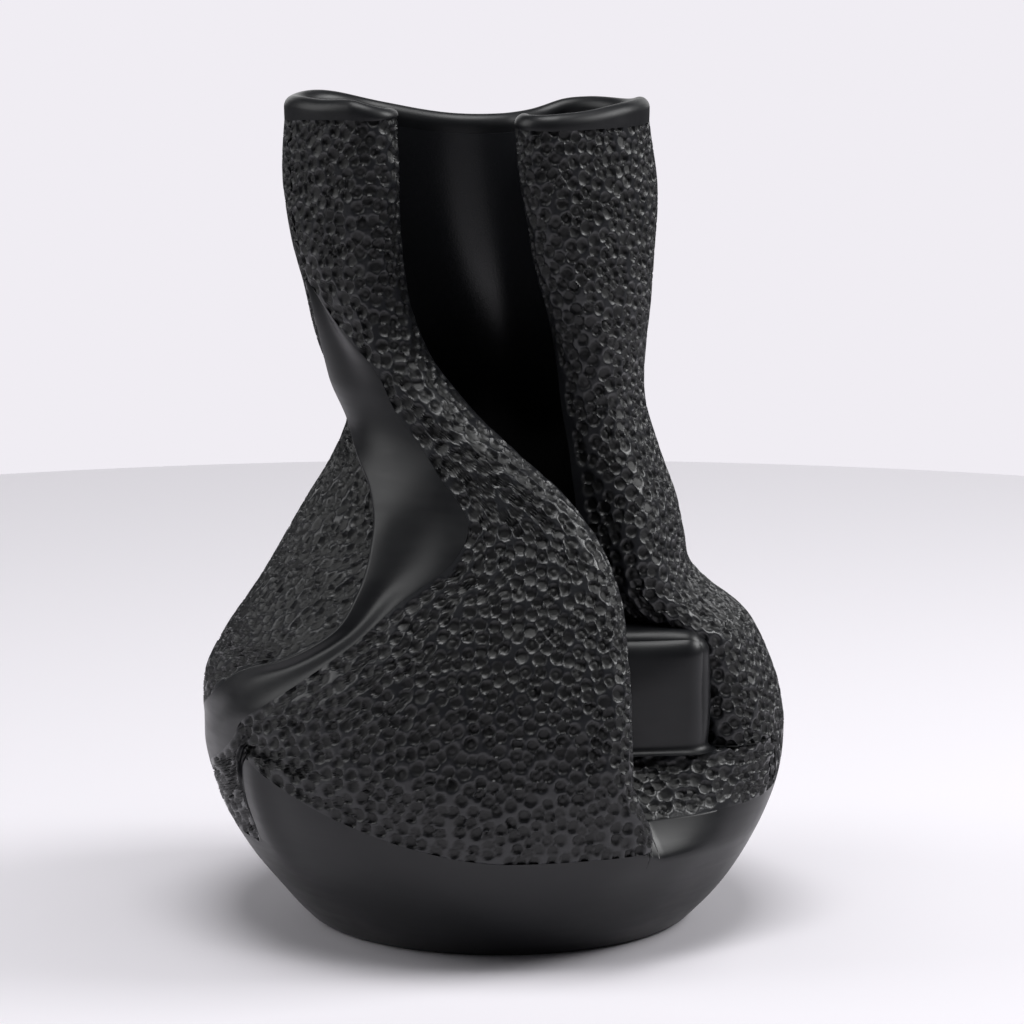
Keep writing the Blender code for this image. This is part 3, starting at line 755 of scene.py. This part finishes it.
class VaseShape(bpy.types.PropertyGroup):
    """Sizes of the slabs, coil and block"""

    wall: FloatProperty(name="Wall", description="Thickness of a slab", default=0.0065, unit="LENGTH")
    coil_width: FloatProperty(name="Coil Width", description="Coil's width", default=0.0068, unit="LENGTH")
    block_edge: FloatProperty(
        name="Block Edge", description="Radius of the block's rounded edges", default=0.008, unit="LENGTH")


class VaseStamps(bpy.types.PropertyGroup):
    """The tube marks that cover the walls"""

    spacing: FloatProperty(
        name="Spacing", description="Least distance between marks", default=0.0034, unit="LENGTH")
    radius: FloatProperty(name="Radius", description="Radius of a mark", default=0.0026, unit="LENGTH")
    depth: FloatProperty(name="Depth", description="Depth of a mark", default=0.0012, unit="LENGTH")
    seed: IntProperty(name="Seed", description="Changes where the marks fall", default=7)


class VaseClay(bpy.types.PropertyGroup):
    """Colours and shine of the fired clay, with the painted shade inside the marks"""

    burnished_dark: StringProperty(
        name="Burnished Dark", description="Darker colour, sRGB hex", default="#0e0f11")
    burnished_pale: StringProperty(
        name="Burnished Pale", description="Paler colour, sRGB hex", default="#1a1b1e")
    ridge: StringProperty(name="Ridge", description="Colour of the ridges, sRGB hex", default="#1e1f22")
    # painted shade: the pit colour is darker than the ridge colour to stand in for the shade that falls
    # inside the marks
    pit_shade: StringProperty(name="Pit", description="Colour inside the marks, sRGB hex", default="#0b0c0d")
    gloss: FloatProperty(
        name="Gloss", description="Reflections of burnished clay", default=0.4, subtype="FACTOR")
    ridge_gloss: FloatProperty(
        name="Ridge Gloss", description="Reflections of stamped clay", default=0.5, subtype="FACTOR")
    shine: FloatProperty(
        name="Burnished Roughness", description="Roughness where rubbed", default=0.36, subtype="FACTOR")
    ridge_shine: FloatProperty(
        name="Ridge Roughness", description="Roughness of the ridges", default=0.3, subtype="FACTOR")
    pit_shine: FloatProperty(
        name="Pit Roughness", description="Roughness inside the marks", default=0.55, subtype="FACTOR")


class VaseStage(bpy.types.PropertyGroup):
    """Floor, lights and camera"""

    floor_radius: FloatProperty(
        name="Floor Radius", description="Radius of the round floor", default=0.8, unit="LENGTH")
    floor: StringProperty(name="Floor", description="Colour of the floor, sRGB hex", default="#f2eff5")
    key: FloatProperty(name="Key", description="Power of the key light", default=10.0, unit="POWER")
    fill: FloatProperty(name="Fill", description="Power of the fill light", default=4.8, unit="POWER")
    top: FloatProperty(name="Top", description="Power of the top light", default=11.5, unit="POWER")
    back: FloatProperty(name="Back", description="Power of the back light", default=4.0, unit="POWER")
    distance: FloatProperty(name="Distance", description="Camera to vase", default=2.4, unit="LENGTH")
    elevation: FloatProperty(
        name="Elevation", description="Camera height as an angle", default=float(np.radians(12)),
        subtype="ANGLE")


class VASE_OT_bowl(bpy.types.Operator):
    """Builds the burnished bowl: rings round Z, up the outside, over the edge and down the inside

    Its columns stand closer where the edge steps, at the pleat and under the flap's foot.
    """

    bl_idname = "vase.bowl"
    bl_label = "Base Bowl"

    def execute(self, context):
        turn = np.unique(np.concatenate([np.linspace(0, 360, 540, endpoint=False),
                                         np.arange(296, 306, 0.2), np.arange(31, 38, 0.2)]))
        line = texture_line(turn, FLAP_END - STEP_BACK)
        level = np.concatenate([np.linspace(0, 0.002, 9), np.linspace(0.003, 0.03, 46)])
        rising = np.linspace(0, 1, 31)[1:]
        z = np.concatenate([np.broadcast_to(level, (len(turn), len(level))),
                            level[-1] + (line[:, None] - level[-1]) * rising], axis=1)
        around = np.broadcast_to(turn[:, None], z.shape)
        into = np.clip(1 - z / FOOT_EDGE, 0, 1)
        tucked = -FOOT_EDGE * (1 - np.sqrt(np.maximum(1 - into**2, 0.0)))
        outside = wall_point(around, z)
        away = unit(-outside * (1, 1, 0))
        outside = outside - (tucked + by_hand(outside) * smoothstep(z, 0.0, 0.01))[..., None] * away
        rings = [outside]
        for share in (1.0, 0.75, 0.5, 0.25, 0.0):
            height = FLOOR + (line - FLOOR) * share
            corner = FLOOR_CORNER * (1 - share) ** 3
            rings.append((wall_point(turn, height) + (BOWL_WALL + corner) * away[:, -1])[:, None])
        points = np.concatenate(rings, axis=1)
        count, rows = points.shape[:2]
        sides = (grid_faces(count + 1, rows) % (count * rows)).tolist()
        foot = (np.arange(count)[::-1] * rows).tolist()
        inside = (np.arange(count) * rows + rows - 1).tolist()
        add_piece("base_bowl", points.reshape(-1, 3), sides + [foot, inside], burnished_clay(),
                  ["base_bowl"])
        return {"FINISHED"}


class VASE_OT_walls(bpy.types.Operator):
    """Builds the stamped slabs: each is a stretch of the wall's formula, pressed with tube marks"""

    bl_idname = "vase.walls"
    bl_label = "Stamped Walls"

    def execute(self, context):
        stamps = context.scene.vase_stamps
        lines = edge_lines()
        tall = (WALL_BOTTOM, WALL_TOP, 420)
        cloud = np.concatenate([
            samples(flap_surface, (0, 1, 420), tall), samples(flap_surface, (1, 1.8, 60), tall),
            samples(right_surface, (0, 1, 400), tall), samples(right_surface, (-0.8, 0, 60), tall),
            samples(back_surface, (0, 1, 240), tall), samples(ledge_surface, (0, 1, 160), (0, 2, 90)),
        ])
        round_marks = Stamping(cloud, lines, stamps.spacing, stamps.seed)
        rear_cloud = samples(rear_surface, (0, 1, 420), tall)
        long_marks = Stamping(rear_cloud, lines, stamps.spacing, stamps.seed + 1, LONG_MARKS)
        rows = np.linspace(WALL_BOTTOM, WALL_TOP, 361)
        flap_columns = columns((0, 1, 300), (1, 2, 60))
        right_columns = columns((-1, 0, 72), (0, 0.5, 180), (0.5, 1, 108))
        low, high = rows[:SPLIT_ROW + 1], rows[SPLIT_ROW:]
        parts = (
            ("front_flap_lower", "front_flap", flap_surface, flap_columns, low, round_marks),
            ("front_flap_upper", "front_flap", flap_surface, flap_columns, high, round_marks),
            ("right_wall_lower", "right_wall", right_surface, right_columns, low, round_marks),
            ("right_wall_upper", "right_wall", right_surface, right_columns, high, round_marks),
            ("back_wall", "back_wall", back_surface, columns((0, 1, 176)), rows, round_marks),
            ("rear_left_wall", "rear_left_wall", rear_surface, columns((0, 1, 240)), rows, long_marks),
            ("valley_ledge", "valley_ledge", ledge_surface, columns((0, 1, 140)),
             np.linspace(0, 2, 81), round_marks),
        )
        for name, node, surface, u, h, stamping in parts:
            vertices, faces, marks = slab(surface, u, h, stamping)
            add_piece(name, vertices, faces, stamped_clay(), [node], marks)
        return {"FINISHED"}


class VASE_OT_band(bpy.types.Operator):
    """Builds the burnished band: the strip of wall between its two seams, hollowed across"""

    bl_idname = "vase.band"
    bl_label = "Burnished Band"

    def execute(self, context):
        def thicker(u, h):
            """The band is drawn out thin where its free edge stands over the rear wall."""
            return -BAND_THIN * hill(h, LAP_HEIGHT, 0.035) * hill(u, 0, 0.25)

        u = columns((0, 0.12, 24), (0.12, 1, 72))
        vertices, faces, _ = slab(band_surface, u, np.linspace(WALL_BOTTOM, BAND_TOP, 281), None, thicker)
        add_piece("burnished_band", vertices, faces, burnished_clay(), ["burnished_band"])
        return {"FINISHED"}


class VASE_OT_block(bpy.types.Operator):
    """Builds the block: a rounded box with full faces, and a fillet of smeared clay round its foot

    A cube's grid is drawn in to an inner box, and each point is pushed out again by the edge's radius.
    """

    bl_idname = "vase.block"
    bl_label = "Valley Block"

    def execute(self, context):
        radius = context.scene.vase_shape.block_edge
        half = np.array(BLOCK_SIZE) / 2
        line = np.sin(np.linspace(-np.pi / 2, np.pi / 2, BLOCK_GRID))
        a, b = np.meshgrid(line, line, indexing="ij")
        one = np.ones_like(a)
        sheets = [np.stack(s, axis=-1) for s in ((a, -one, b), (-a, one, b), (one, a, b), (-one, -a, b),
                                                 (a, b, one), (-a, b, -one))]
        full = np.concatenate([s.reshape(-1, 3) for s in sheets]) * half
        core = np.clip(full, (-half + radius) * (1, 1, 0) - half * (0, 0, 1), half - radius)
        way = full - core
        far = np.abs(way).max(axis=1, keepdims=True)
        way = unit(way)
        swell = np.tile(((1 - a**2) * (1 - b**2)).ravel(), 6)
        points = core + (far + BLOCK_SWELL * swell[:, None]) * way
        low = np.clip(1 - (points[:, 2] + half[2]) / BLOCK_FILLET[1], 0, 1)
        flare = BLOCK_FILLET[0] * (1 - np.sqrt(1 - low**2))
        points += flare[:, None] * far / radius * way * (1, 1, 0)
        faces = np.concatenate([grid_faces(BLOCK_GRID, BLOCK_GRID, k * BLOCK_GRID**2) for k in range(6)])
        angle = np.radians(BLOCK_TURN)
        across = np.array([np.cos(angle), np.sin(angle), 0.0])
        back = np.array([-np.sin(angle), np.cos(angle), 0.0])
        corner = np.array([*BLOCK_FRONT_LEFT, VALLEY_FLOOR - SUNK])
        centre = corner + across * half[0] + back * half[1] + np.array([0, 0, half[2]])
        place = centre + points[:, :1] * across + points[:, 1:2] * back + points[:, 2:] * (0, 0, 1)
        place += by_hand(place)[:, None] * way
        vertices, faces = welded(place, faces)
        add_piece("valley_block", vertices, faces, burnished_clay(), ["valley_block"])
        return {"FINISHED"}


def welded(points, faces):
    """Joins the points that coincide, to a thousandth of a millimetre."""
    rounded = np.round(points / (0.001 * MM)).astype(np.int64)
    _, first, same = np.unique(rounded, axis=0, return_index=True, return_inverse=True)
    return points[first], same.reshape(-1)[faces].tolist()


class VASE_OT_rim(bpy.types.Operator):
    """Builds the rim coil: a section carried along the middle of the walls' top, small at its ends

    The section is a half ellipse on short upright sides, and its height follows COIL_HEIGHT.
    """

    bl_idname = "vase.rim"
    bl_label = "Rim Coil"

    def execute(self, context):
        shape = context.scene.vase_shape
        path, out = [], []
        for surface, u in ((right_surface, columns((-1, 0, 60), (0, 1, 160))[:-1]),
                           (back_surface, columns((0, 1, 110))[:-1]),
                           (rear_surface, columns((0, 1, 110))[:-1]),
                           (flap_surface, columns((0, 1, 120), (1, 2, 60)))):
            h = WALL_TOP + 0 * u
            path.append(surface(u, h, True))
            out.append(outward(surface, u, h))
        path, out = np.concatenate(path), np.concatenate(out)
        out = unit(out * (1, 1, 0))
        path += by_hand(path)[:, None] * out
        gone = np.concatenate([[0], np.cumsum(np.linalg.norm(np.diff(path, axis=0), axis=1))])
        ends = np.minimum(gone, gone[-1] - gone)
        taper = np.sqrt(np.clip(1 - (1 - np.clip(ends / COIL_TAPER, 0, 1)) ** 2, 0.02, 1))[:, None]
        middle = path - 0.5 * shape.wall * out
        half = shape.coil_width / 2
        high = through(COIL_HEIGHT, gone / gone[-1])[:, None]
        dome = np.minimum(1.15 * half, 0.85 * high)
        bend = np.radians(np.linspace(0, 180, 25))
        aside = half * np.concatenate([[0.96, 0.985], np.cos(bend), [-0.985, -0.96]])
        arch = np.concatenate([[0, 0], np.sin(bend), [0, 0]])
        stand = np.concatenate([[0, 0.5], np.ones(25), [0.5, 0]])
        up = taper * (stand * (high - dome) + dome * arch) - SUNK
        wide = (0.35 + 0.65 * taper)[..., None]
        rings = middle[:, None] + wide * aside[None, :, None] * out[:, None] + up[..., None] * (0, 0, 1)
        count, around = rings.shape[:2]
        column, row = np.meshgrid(np.arange(count - 1), np.arange(around), indexing="ij")
        a, b = column * around + row, column * around + (row + 1) % around
        sides = np.stack([a, a + around, b + around, b], axis=-1).reshape(-1, 4).tolist()
        caps = [list(range(around)), [(count - 1) * around + j for j in range(around)][::-1]]
        add_piece("rim_coil", rings.reshape(-1, 3), sides + caps, burnished_clay(),
                  ["rim_coil"])
        return {"FINISHED"}


def add_area(name, place, size, power):
    """A soft light that points at the vase's middle and isn't seen itself."""
    light = bpy.data.lights.new(name, "AREA")
    light.shape, light.size, light.size_y = "RECTANGLE", size[0], size[1]
    light.energy = power
    lamp = add_object(name, light)
    lamp.visible_camera = False
    lamp.location = place
    lamp.rotation_euler = (Vector(LIT_POINT) - Vector(place)).to_track_quat("-Z", "Y").to_euler()


class VASE_OT_stage(bpy.types.Operator):
    """Sets the plain pale floor, the soft lights and the camera"""

    bl_idname = "vase.stage"
    bl_label = "Stage"

    def execute(self, context):
        stage = context.scene.vase_stage
        turn = np.linspace(0, 2 * np.pi, 256, endpoint=False)
        disc = stage.floor_radius * np.stack([np.cos(turn), np.sin(turn), 0 * turn], axis=-1)
        mesh = bpy.data.meshes.new("floor")
        mesh.from_pydata(disc.tolist(), [], [list(range(len(disc)))])
        floor = add_object("floor", mesh)
        material, tree, shader = new_material("matte_floor")
        shader.inputs["Base Color"].default_value = colour(stage.floor)
        shader.inputs["Roughness"].default_value = 0.9
        mesh.materials.append(material)

        for name, place, size in LIGHTS:
            add_area(name, place, size, getattr(stage, name))

        world = bpy.data.worlds.new("pale_room")
        context.scene.world = world
        world.use_nodes = True
        tree = world.node_tree
        ground = tree.nodes["Background"]
        ground.inputs["Color"].default_value = colour(ROOM_LIGHT)
        ground.inputs["Strength"].default_value = ROOM_STRENGTH
        seen = add_node(tree, "ShaderNodeBackground", inputs={"Color": colour(BACKDROP), "Strength": 1.0})
        path = add_node(tree, "ShaderNodeLightPath")
        mix = add_node(tree, "ShaderNodeMixShader", links={
            0: path.outputs["Is Camera Ray"], 1: ground.outputs[0], 2: seen.outputs[0]})
        tree.links.new(mix.outputs[0], tree.nodes["World Output"].inputs["Surface"])

        back = Vector((0.0, -np.cos(stage.elevation), np.sin(stage.elevation)))
        camera = bpy.data.cameras.new("camera")
        camera.sensor_width = 36.0
        camera.lens = LENS
        camera.shift_x, camera.shift_y = CAMERA_SHIFT
        camera.dof.use_dof = False
        eye = add_object("camera", camera)
        eye.location = Vector(CAMERA_AIM) + stage.distance * back
        eye.rotation_euler = (-back).to_track_quat("-Z", "Y").to_euler()
        context.scene.camera = eye
        context.scene.view_settings.view_transform = "Standard"
        return {"FINISHED"}


class VASE_PT_panel(bpy.types.Panel):
    """Lists the vase's pieces in the sidebar"""

    bl_idname = "VASE_PT_panel"
    bl_label = "Folded Clay Vase"
    bl_space_type = "VIEW_3D"
    bl_region_type = "UI"
    bl_category = "Clay Vase"

    def draw(self, context):
        for group in ("vase_shape", "vase_stamps", "vase_clay", "vase_stage"):
            box = self.layout.box()
            settings = getattr(context.scene, group)
            for name in settings.__annotations__:
                box.prop(settings, name)
        for operator in OPERATORS:
            self.layout.operator(operator.bl_idname)


GROUPS = (("vase_shape", VaseShape), ("vase_stamps", VaseStamps), ("vase_clay", VaseClay),
          ("vase_stage", VaseStage))
OPERATORS = (VASE_OT_bowl, VASE_OT_walls, VASE_OT_band, VASE_OT_block, VASE_OT_rim, VASE_OT_stage)


def register():
    for name, group in GROUPS:
        bpy.utils.register_class(group)
        setattr(bpy.types.Scene, name, PointerProperty(type=group))
    for item in (*OPERATORS, VASE_PT_panel):
        bpy.utils.register_class(item)


def unregister():
    for item in (VASE_PT_panel, *reversed(OPERATORS)):
        bpy.utils.unregister_class(item)
    for name, group in reversed(GROUPS):
        delattr(bpy.types.Scene, name)
        bpy.utils.unregister_class(group)


def main():
    register()
    bpy.ops.vase.bowl()
    bpy.ops.vase.walls()
    bpy.ops.vase.band()
    bpy.ops.vase.block()
    bpy.ops.vase.rim()
    bpy.ops.vase.stage()


if __name__ == "__main__":
    main()
